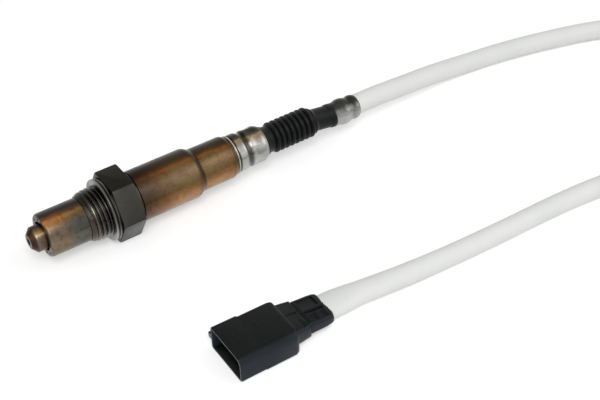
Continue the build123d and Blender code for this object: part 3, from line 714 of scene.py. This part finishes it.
class SENSOR_OT_body(bpy.types.Operator):
    """Build the threaded body and its hexagon"""

    bl_idname = "sensor.body"
    bl_label = "Threaded Body"

    def execute(self, context):
        along = [(-8.0, "#ffe9d8"), (-5.0, "#fff8f0"), (0.0, "#ffffff"), (12.0, "#f2f0ea")]
        # Round the axis: painted shade on top and a painted glint on the crests at 45 degrees; along X the
        # front is warmer
        thread = turned_steel(
            "Cut Stainless Thread",
            [
                (-180, "#7b7b78"), (-90, "#4c4c49"), (-30, "#33322e"), (0, "#31302b"), (22, "#403e3a"),
                (45, "#74746f"), (60, "#5c5a57"), (90, "#5f5c59"), (125, "#86867f"), (180, "#7b7b78"),
            ],
            along, 0.3, (0.2, 0.32), 0.25, roots=(8.2, 8.7),
        )
        self.thread(context.scene.oxygen_sensor.thread_pitch / MM, thread)
        # Each face of the hexagon has its own painted shade, the top face darkest
        hexagon = turned_steel(
            "Blackened Machined Stainless",
            [
                (-180, "#54524f"), (-151, "#4c4a47"), (-149, "#3a3835"), (-91, "#3a3835"), (-89, "#34322e"),
                (-31, "#302e2a"), (-29, "#22201b"), (29, "#201e19"), (31, "#464540"), (89, "#403e3c"),
                (91, "#333432"), (149, "#383937"), (151, "#54524f"), (180, "#54524f"),
            ],
            along, 0.3, (0.3, 0.42), 0.12, drift=0.0,
        )
        self.hexagon(hexagon)
        return {"FINISHED"}

    def thread(self, pitch, steel):
        """A right-hand thread: one line of crests and roots, spun once round while it moves one pitch."""
        bm = bmesh.new()
        # A metric thread's depth is 0.613 of its pitch, and its flanks stand at 30 degrees
        depth = 0.613 * pitch
        crest, root = 9.0, 9.0 - depth
        crest_w, flank_w = pitch / 6, depth * tan(radians(30))
        line = []
        for turn in range(-7, 2):
            x = turn * pitch
            line += [
                (x, crest), (x + crest_w, crest), (x + crest_w + flank_w, root), (x + pitch - flank_w, root),
            ]
        verts = [bm.verts.new((x * MM, r * MM, 0)) for x, r in line]
        for first, second in zip(verts, verts[1:]):
            bm.edges.new((first, second))
        steps = 120
        bmesh.ops.spin(
            bm, geom=bm.verts[:] + bm.edges[:], cent=(0, 0, 0), axis=(1, 0, 0),
            dvec=(pitch * MM / steps, 0, 0), angle=2 * pi, steps=steps,
            use_merge=False, use_normal_flip=False, use_duplicate=False,
        )
        bmesh.ops.remove_doubles(bm, verts=bm.verts, dist=2e-6)
        front, rear = -7.5, 0.0
        for x, side in ((front, -1), (rear, 1)):
            bmesh.ops.bisect_plane(
                bm, geom=bm.verts[:] + bm.edges[:] + bm.faces[:], dist=1e-7, plane_co=(x * MM, 0, 0),
                plane_no=(side, 0, 0), clear_outer=True,
            )
        cut_across(bm, (-7.25, -7.0, -6.6, -6.1, -5.5, -4.6))
        # The first turns run out towards the nose: 1.35 mm lower at the front, fading over 1.4 mm
        for vert in bm.verts:
            limit = (9.02 - 1.35 * exp((front - vert.co.x / MM) / 1.4)) * MM
            radius = hypot(vert.co.y, vert.co.z)
            if radius > limit:
                vert.co.y *= limit / radius
                vert.co.z *= limit / radius
        open_edges = [e for e in bm.edges if e.is_boundary]
        nose_end = [e for e in open_edges if e.verts[0].co.x < -5 * MM]
        hex_end = [e for e in open_edges if e.verts[0].co.x > -1 * MM]
        ring = end_ring(bm, hex_end, rear, 8.0)
        ring = end_ring(bm, ring, 2.3, 8.0)
        bmesh.ops.edgeloop_fill(bm, edges=ring)
        ring = end_ring(bm, nose_end, front, 6.95)
        ring = end_ring(bm, ring, -10.4, 6.95)
        bmesh.ops.edgeloop_fill(bm, edges=ring)
        bmesh.ops.recalc_face_normals(bm, faces=bm.faces)
        keep_piece("thread_cut", bm, steel, sharp=25)

    def hexagon(self, steel):
        """Turned blank with chamfers, cut by six planes, with a washer face and a weld collar."""
        half_flats = 11.0
        bm = turned(
            [(1.95, 0.0), (1.95, 12.25), (2.2, 12.75), (9.7, 12.75), (9.95, 12.2), (9.95, 0.0)], 180
        )
        for flat in range(6):
            angle = radians(60 * flat)
            normal = Vector((0, sin(angle), cos(angle)))
            cut_face(bm, normal * half_flats * MM, normal)
        bmesh.ops.dissolve_limit(bm, angle_limit=radians(0.6), verts=bm.verts, edges=bm.edges)
        bevel_sharp(bm, 0.1, 25)
        keep_piece("hexagon", bm, steel, "sensor_body", sharp=20)
        seat = turned([(1.6, 7.9), (1.6, 10.4, 0.1), (2.0, 10.4), (2.0, 7.9)])
        keep_piece("washer_face", seat, steel)
        collar = turned(
            [(9.9, 0.0), (9.9, 9.3, 0.1), (11.3, 9.0, 0.15), (11.3, 8.2), (17.3, 8.2), (17.3, 0.0)]
        )
        keep_piece("weld_collar", collar, steel)


class SENSOR_OT_gasket(bpy.types.Operator):
    """Build the folded gasket"""

    bl_idname = "sensor.gasket"
    bl_label = "Gasket"

    def execute(self, context):
        # Round the axis, darkest at 45 degrees and paler lower down: painted shade and light; along X, a pale
        # front face and painted shade in the fold's groove
        metal = turned_steel(
            "Plated Folded Steel",
            [
                (-180, "#a3a1a2"), (-90, "#6f6e6c"), (-25, "#8a8987"), (10, "#6a6866"), (45, "#545250"),
                (85, "#6c6a68"), (110, "#a9a8a8"), (180, "#a3a1a2"),
            ],
            [
                (-0.3, "#ffffff"), (0.2, "#f4f4f4"), (0.45, "#8a8886"), (0.75, "#23211f"), (1.05, "#9a9896"),
                (1.6, "#ffffff"),
            ],
            0.25, (0.25, 0.38), 0.1,
        )
        bm = turned(
            [
                (-0.25, 8.85, 0.2), (-0.25, 10.95, 0.36), (0.68, 10.95, 0.24), (0.75, 10.5, 0.06),
                (0.82, 10.95, 0.24), (1.7, 10.95, 0.3), (1.7, 8.85, 0.2),
            ],
            128,
        )
        keep_piece("folded_gasket", bm, metal, "seal_gasket")
        return {"FINISHED"}


class SENSOR_OT_shell(bpy.types.Operator):
    """Build the drawn outer shell"""

    bl_idname = "sensor.shell"
    bl_label = "Outer Shell"

    def execute(self, context):
        # Round the axis: heat tint with an orange streak, painted shade on top and painted light down the
        # near side; along X, painted shade at the shoulder step
        steel = turned_steel(
            "Heat Tinted Drawn Stainless",
            [
                (-180, "#6a5644"), (-90, "#4c3c2f"), (-40, "#3a2f25"), (-5, "#332a20"), (9, "#45341f"),
                (15, "#5c4026"), (21, "#7e5632"), (27, "#6c5636"), (44, "#7b6a54"), (58, "#7b6a52"),
                (72, "#74603f"), (86, "#8a694a"), (100, "#a68465"), (120, "#a48b74"), (145, "#806c58"),
                (180, "#6a5644"),
            ],
            [
                (11.5, "#a09cac"), (15.0, "#b2aebc"), (20.0, "#e2d0c8"), (26.0, "#fff6ea"),
                (32.6, "#f6ece0"), (34.4, "#9c9080"), (35.4, "#7a6e5e"), (36.2, "#f6eede"),
                (41.0, "#fff8e6"), (46.5, "#f0dcd0"), (48.2, "#c4bcb0"), (50.3, "#a8a49c"),
            ],
            0.22, (0.24, 0.36), 0.25, drift=0.22,
        )
        bm = turned(
            [
                (11.6, 8.3), (11.6, 9.0, 0.15), (33.4, 9.0, 0.85), (35.4, 7.76, 0.4), (35.9, 7.72, 0.2),
                (48.1, 7.72, 0.5), (49.0, 7.1, 0.3), (49.7, 7.08), (50.35, 7.05, 0.2), (50.35, 6.4),
                (48.6, 6.4), (47.6, 7.03), (35.4, 7.03), (32.8, 8.3),
            ],
            144,
        )
        # The turned-in lip lay under the collar's edge and stayed bright
        lip = 49.7 * MM
        for face in bm.faces:
            if face.calc_center_median().x > lip:
                face.material_index = 1
        skin = keep_piece("shell_skin", bm, steel, "outer_shell")
        skin.data.materials.append(
            plain_finish("Bright Drawn Stainless", "#86847d", "#b4b0a8", 700.0, 0.26, 1.0)
        )
        return {"FINISHED"}


class SENSOR_OT_collar(bpy.types.Operator):
    """Build the crimped collar"""

    bl_idname = "sensor.collar"
    bl_label = "Crimped Collar"

    def execute(self, context):
        # Round the axis: painted reflections, dark on top with a bright streak near 58 degrees and paler
        # below; along X, painted shade next to the shell and in the groove between the rings
        metal = turned_steel(
            "Bright Pressed Stainless",
            [
                (-180, "#9a9b97"), (-90, "#6a6963"), (-30, "#3a382f"), (0, "#2f2d25"), (10, "#4c4535"),
                (17, "#97825e"), (22, "#8b7c64"), (30, "#8a8278"), (44, "#a8a49f"), (58, "#bcbbb7"),
                (74, "#979893"), (90, "#a5a6a2"), (105, "#b6b7b3"), (135, "#a9aaa6"), (180, "#9a9b97"),
            ],
            [
                (49.0, "#4a4844"), (50.8, "#8a8882"), (51.3, "#ffffff"), (53.3, "#ffffff"), (54.1, "#7a7872"),
                (55.6, "#807e77"), (56.5, "#ffffff"), (63.0, "#f0f0ee"),
            ],
            0.12, (0.16, 0.26), 0.12,
        )
        bm = turned(
            [
                (46.6, 5.3), (46.6, 6.2), (50.7, 6.2), (50.7, 6.85, 0.4), (53.6, 6.95, 0.45),
                (54.4, 6.35, 0.35), (55.4, 6.2, 0.4), (56.2, 6.7, 0.3), (61.1, 6.72, 0.5),
                (62.7, 6.05, 0.25), (62.7, 5.55), (61.1, 6.27), (56.2, 6.25), (55.2, 5.8), (53.6, 6.4),
                (51.2, 6.4), (51.2, 5.8), (47.1, 5.8), (47.1, 5.3),
            ],
            160,
        )
        cut_across(bm, (57.0, 57.6, 59.4, 60.1))
        # The crimping jaws pressed shallow flats round the rear ring, deepest in their middle
        sector = 2 * pi / context.scene.oxygen_sensor.crimp_flats
        for vert in bm.verts:
            x, radius = vert.co.x / MM, hypot(vert.co.y, vert.co.z) / MM
            if 56.9 < x < 60.2 and radius > 6.55:
                away = (atan2(vert.co.z, vert.co.y) + pi) % sector - sector / 2
                depth = 0.26 if 57.5 < x < 59.5 else 0.14
                new = min(radius, (6.72 - depth) / cos(away))
                vert.co.y *= new / radius
                vert.co.z *= new / radius
        keep_piece("collar_skin", bm, metal, "crimp_collar")
        return {"FINISHED"}


class SENSOR_OT_boot(bpy.types.Operator):
    """Build the ribbed rubber boot"""

    bl_idname = "sensor.boot"
    bl_label = "Rubber Boot"

    def execute(self, context):
        ribs = context.scene.oxygen_sensor.boot_ribs
        start, pitch = 66.45, 17.0 / ribs
        profile = [
            (53.5, 0.0), (53.5, 5.2), (61.1, 5.2), (62.6, 5.5), (62.75, 5.85, 0.15), (64.6, 4.9, 0.3),
            (start, 4.8),
        ]
        for rib in range(ribs):
            x = start + rib * pitch
            profile += [
                (x + pitch * 0.10, 4.6), (x + pitch * 0.24, 5.34), (x + pitch * 0.40, 5.64),
                (x + pitch * 0.60, 5.64), (x + pitch * 0.76, 5.34), (x + pitch * 0.90, 4.6),
            ]
        profile += [
            (start + ribs * pitch, 4.6), (84.1, 4.95, 0.2), (85.3, 4.15, 0.4), (91.3, 4.12, 0.2),
            (91.9, 4.42, 0.15), (93.35, 4.48, 0.15), (93.4, 3.95), (99.4, 3.9), (99.4, 3.1), (83.4, 3.1),
            (66.2, 3.3), (63.0, 3.4), (63.0, 0.0),
        ]
        bm = turned(profile, 112)
        droop(bm)
        keep_piece("boot_skin", bm, boot_rubber(), "rubber_boot", sharp=50)
        return {"FINISHED"}


class SENSOR_OT_ferrule(bpy.types.Operator):
    """Build the ferrule crimped on the boot's tail and the sleeve"""

    bl_idname = "sensor.ferrule"
    bl_label = "Cable Ferrule"

    def execute(self, context):
        # Round the axis: painted reflections, dark on top and paler below; along X, painted shade in the
        # groove behind the bulge
        metal = turned_steel(
            "Bright Rolled Stainless",
            [
                (-180, "#8e8e8c"), (-90, "#5f5f5c"), (-30, "#3c3c38"), (0, "#33332f"), (22, "#3d3e3a"),
                (42, "#3f3f3c"), (56, "#505050"), (72, "#7a7a79"), (92, "#a6a6a5"), (125, "#aeaeac"),
                (180, "#8e8e8c"),
            ],
            [(93.4, "#e8e8e4"), (95.6, "#f4f4f2"), (98.4, "#ffffff"), (100.8, "#c8c8c4"), (104.5, "#f4f4f2")],
            0.14, (0.14, 0.24), 0.12,
        )
        bm = turned(
            [
                (93.4, 4.38, 0.1), (95.4, 4.42, 0.3), (96.5, 4.78, 0.4), (97.9, 5.05, 0.8), (99.3, 4.8, 0.5),
                (100.5, 4.4, 0.35), (101.3, 4.42, 0.25), (102.5, 4.64, 0.45), (103.5, 4.46, 0.3),
                (104.1, 4.22, 0.12), (104.1, 3.88), (102.5, 4.2), (100.9, 3.97), (99.3, 4.35), (97.9, 4.58),
                (96.5, 4.33), (95.4, 4.05), (93.4, 4.0),
            ],
            128,
        )
        droop(bm)
        keep_piece("ferrule_skin", bm, metal, "cable_ferrule", sharp=40)
        return {"FINISHED"}


class SENSOR_OT_plug(bpy.types.Operator):
    """Build the plug's housing and its rear cover"""

    bl_idname = "sensor.plug"
    bl_label = "Plug"

    def execute(self, context):
        nylon = plug_nylon()
        turn = plug_matrix()
        height = 8.9
        near, far = -9.2, 8.5
        case_near, case_far = -9.4, 8.0
        # Along, near side, far side, bottom, top, rounding of the near top corner and of the others
        bm = lofted([
            (11.0, near + 1.0, far - 1.0, 1.0, height - 1.0, 1.6, 0.5),
            (0.1, near + 0.85, far - 0.85, 0.85, height - 0.85, 1.7, 0.5),
            (-0.28, near + 0.6, far - 0.6, 0.6, height - 0.6, 1.9, 0.6),
            (-0.4, near + 0.42, far - 0.42, 0.42, height - 0.42, 2.0, 0.7),
            (-0.3, near + 0.18, far - 0.18, 0.18, height - 0.18, 2.2, 0.85),
            (0.0, near, far, 0.0, height, 2.7, 0.95),
            (8.3, near, far, 0.0, height, 2.8, 1.1),
            (8.6, case_near, case_far, 0.0, height, 3.0, 1.1),
            (19.0, case_near, case_far, 0.0, height, 3.0, 1.2),
            (20.0, case_near + 0.4, case_far - 0.1, 0.3, height - 0.1, 2.8, 1.3),
            (20.5, case_near + 1.1, case_far - 0.4, 0.8, height - 0.4, 2.4, 1.2),
            (20.7, case_near + 1.7, case_far - 1.0, 1.2, height - 1.0, 2.0, 1.0),
            (20.8, -7.3, 7.15, 1.4, 7.2, 1.5, 1.0),
            (25.8, -6.8, 6.55, 1.6, 6.8, 1.4, 1.0),
            (26.0, -6.6, 6.35, 1.8, 6.6, 1.3, 0.9),
            (25.9, -6.0, 5.5, 2.3, 6.1, 0.8, 0.6),
            (21.8, -6.0, 5.5, 2.3, 6.1, 0.8, 0.6),
        ])
        small_block(bm, (0.4, 9.2, 4.4), (1.6, 1.7, 2.0), 0.2)
        small_block(bm, (23.3, 0.95, 6.95), (4.6, 0.5, 0.7), 0.15)
        small_block(bm, (24.8, -4.3, 6.7), (1.6, 4.2, 0.7), 0.15)
        small_block(bm, (11.2, 2.2, height), (0.5, 2.6, 0.24), 0.08)
        small_block(bm, (13.0, 1.2, height), (3.6, 0.45, 0.24), 0.08)
        small_block(bm, (3.6, 0.8, height), (0.45, 2.2, 0.24), 0.08)
        bevel_sharp(bm, 0.08, 40)
        # Painted highlight: the rim of the mouth is painted pale
        for face in bm.faces:
            if face.calc_center_median().x < -0.3 * MM:
                face.material_index = 1
        bmesh.ops.transform(bm, matrix=turn, verts=bm.verts)
        case = keep_piece("plug_case", bm, nylon, "plug_housing", sharp=35)
        painted_rim_highlight = plain_finish("Nylon With Painted Rim Highlight", "#3c4346", "#6c7477", 900.0, 0.4)
        case.data.materials.append(painted_rim_highlight)

        cover = lofted([
            (26.1, -6.15, 5.85, 2.1, 6.4, 1.3, 1.2), (26.5, -6.35, 6.15, 1.85, 6.6, 1.5, 1.3),
            (32.0, -6.35, 6.2, 1.8, 6.0, 1.5, 1.3), (33.8, -6.1, 6.1, 1.8, 5.8, 1.5, 1.3),
            (34.8, -5.8, 5.8, 1.9, 5.6, 1.4, 1.2), (35.1, -5.1, 5.4, 2.2, 5.4, 1.2, 1.0),
        ])
        recess(cover, (27.2, 0.7), (33.2, 5.0), 0.5)
        recess(cover, (27.4, -5.2), (29.9, -1.9), 0.3)
        recess(cover, (30.6, -5.2), (33.2, -1.9), 0.3)
        small_block(cover, (30.2, -0.55, 6.3), (8.0, 0.5, 1.2), 0.12)
        bevel_sharp(cover, 0.08, 40)
        bmesh.ops.transform(cover, matrix=turn, verts=cover.verts)
        keep_piece("cover_skin", cover, nylon, "plug_cover", sharp=35)
        dress("terminal_retainer", nylon)
        return {"FINISHED"}


class SENSOR_OT_inside(bpy.types.Operator):
    """Give the pieces inside their real finishes"""

    bl_idname = "sensor.inside"
    bl_label = "Inner Pieces"

    def execute(self, context):
        finishes = {
            ("front_ceramic", "rear_ceramic", "contact_holder_upper", "contact_holder_lower"):
                plain_finish("Fired Steatite", "#ded8c8", "#ece7da", 700.0, 0.6),
            ("sensing_strip",): plain_finish("Sintered Zirconia", "#d8d6cf", "#e6e4de", 900.0, 0.45),
            ("powder_packing",): plain_finish("Pressed Talc", "#a5a49f", "#c2c1bb", 2200.0, 0.85),
            ("holder_clip", "strip_contact_1", "strip_contact_2", "strip_contact_3", "strip_contact_4"):
                plain_finish("Rolled Spring Steel", "#a7a6a2", "#c4c3bf", 1500.0, 0.28, 1.0),
            ("lead_wire_1", "lead_wire_2", "lead_wire_3", "lead_wire_4", "plug_leads"):
                plain_finish("Extruded Wire Cover", "#1b1c1e", "#2a2b2d", 600.0, 0.45),
            ("plug_terminal_1", "plug_terminal_2", "plug_terminal_3", "plug_terminal_4"):
                plain_finish("Stamped Tinned Brass", "#b9b29a", "#d8d4c6", 1200.0, 0.3, 1.0),
            ("wire_seal",): plain_finish("Moulded Silicone", "#7a2f20", "#8f3a28", 800.0, 0.5),
        }
        for names, material in finishes.items():
            for name in names:
                dress(name, material)
        return {"FINISHED"}


class SENSOR_OT_stage(bpy.types.Operator):
    """Make the floor, the lamps and the world"""

    bl_idname = "sensor.stage"
    bl_label = "Stage"

    def execute(self, context):
        scene = context.scene
        scene.view_settings.view_transform = "Standard"
        bm = bmesh.new()
        bmesh.ops.create_grid(bm, x_segments=1, y_segments=1, size=4.0)
        bmesh.ops.translate(bm, vec=(0, 0, FLOOR_Z - 0.02 * MM), verts=bm.verts)
        mesh = bpy.data.meshes.new("floor")
        bm.to_mesh(mesh)
        bm.free()
        floor = bpy.data.objects.new("floor", mesh)
        mesh.materials.append(self.floor_paint())
        scene.collection.objects.link(floor)
        self.world(scene)
        # Name, place and diameter in metres, power in watts
        lamps = [
            ("key", (-0.25, -0.55, 0.75), 0.55, 4.2),
            ("fill", (0.65, -0.35, 0.45), 0.7, 1.4),
        ]
        aim = Vector((0.08, -0.03, 0.0))
        for name, place, size, power in lamps:
            data = bpy.data.lights.new(name, "AREA")
            data.shape = "DISK"
            data.size = size
            data.energy = power
            lamp = bpy.data.objects.new(name, data)
            lamp.location = place
            lamp.rotation_euler = (Vector(place) - aim).to_track_quat("Z", "Y").to_euler()
            scene.collection.objects.link(lamp)
        return {"FINISHED"}

    def seen_directly(self, tree):
        """1 for rays of the camera, of reflections and of see-through parts, 0 for the light itself."""
        rays = add_node(tree, "ShaderNodeLightPath").outputs
        mirror = math_node(tree, "MAXIMUM", rays["Is Camera Ray"], rays["Is Glossy Ray"])
        return math_node(tree, "MAXIMUM", mirror, rays["Is Transmission Ray"])

    def floor_paint(self):
        """Matt white card: shows white to the camera and in reflections, and keeps soft shadows."""
        material, tree = new_material("Matt White Card")
        lift = math_node(tree, "MULTIPLY", self.seen_directly(tree), 0.36)
        card = add_node(tree, "ShaderNodeBsdfDiffuse", {"Color": linear("#f2f2f2")})
        glow = add_node(tree, "ShaderNodeEmission", {"Color": (1, 1, 1, 1), "Strength": lift})
        both = add_node(tree, "ShaderNodeAddShader", {0: card.outputs[0], 1: glow.outputs[0]})
        add_node(tree, "ShaderNodeOutputMaterial", {"Surface": both.outputs[0]})
        return material

    def world(self, scene):
        """A plain grey sky for the light, shown as white to the camera and in reflections."""
        world = bpy.data.worlds.new("studio")
        scene.world = world
        world.use_nodes = True
        tree = world.node_tree
        tree.nodes.clear()
        strength = spread(tree, self.seen_directly(tree), 0.0, 1.0, 0.42, 1.0)
        sky = add_node(tree, "ShaderNodeBackground", {"Color": (1, 1, 1, 1), "Strength": strength})
        add_node(tree, "ShaderNodeOutputWorld", {"Surface": sky.outputs[0]})


class SENSOR_PT_panel(bpy.types.Panel):
    """Lists the pieces of the sensor and its settings"""

    bl_idname = "SENSOR_PT_panel"
    bl_label = "Oxygen Sensor"
    bl_space_type = "VIEW_3D"
    bl_region_type = "UI"
    bl_category = "Oxygen Sensor"

    def draw(self, context):
        settings = context.scene.oxygen_sensor
        for name in SensorSettings.__annotations__:
            self.layout.prop(settings, name)
        for operator in OPERATORS:
            self.layout.operator(operator.bl_idname)


OPERATORS = (
    SENSOR_OT_camera,
    SENSOR_OT_sleeve,
    SENSOR_OT_tubes,
    SENSOR_OT_body,
    SENSOR_OT_gasket,
    SENSOR_OT_shell,
    SENSOR_OT_collar,
    SENSOR_OT_boot,
    SENSOR_OT_ferrule,
    SENSOR_OT_plug,
    SENSOR_OT_inside,
    SENSOR_OT_stage,
)
CLASSES = (SensorSettings, *OPERATORS, SENSOR_PT_panel)


def register():
    """Register the classes and put the settings on the scene."""
    for cls in CLASSES:
        bpy.utils.register_class(cls)
    bpy.types.Scene.oxygen_sensor = bpy.props.PointerProperty(type=SensorSettings)


def unregister():
    """Take the settings and the classes away again."""
    del bpy.types.Scene.oxygen_sensor
    for cls in reversed(CLASSES):
        bpy.utils.unregister_class(cls)


def main():
    """Build everything."""
    register()
    bpy.ops.sensor.camera()
    bpy.ops.sensor.sleeve()
    bpy.ops.sensor.tubes()
    bpy.ops.sensor.body()
    bpy.ops.sensor.gasket()
    bpy.ops.sensor.shell()
    bpy.ops.sensor.collar()
    bpy.ops.sensor.boot()
    bpy.ops.sensor.ferrule()
    bpy.ops.sensor.plug()
    bpy.ops.sensor.inside()
    bpy.ops.sensor.stage()


if __name__ == "__main__":
    main()
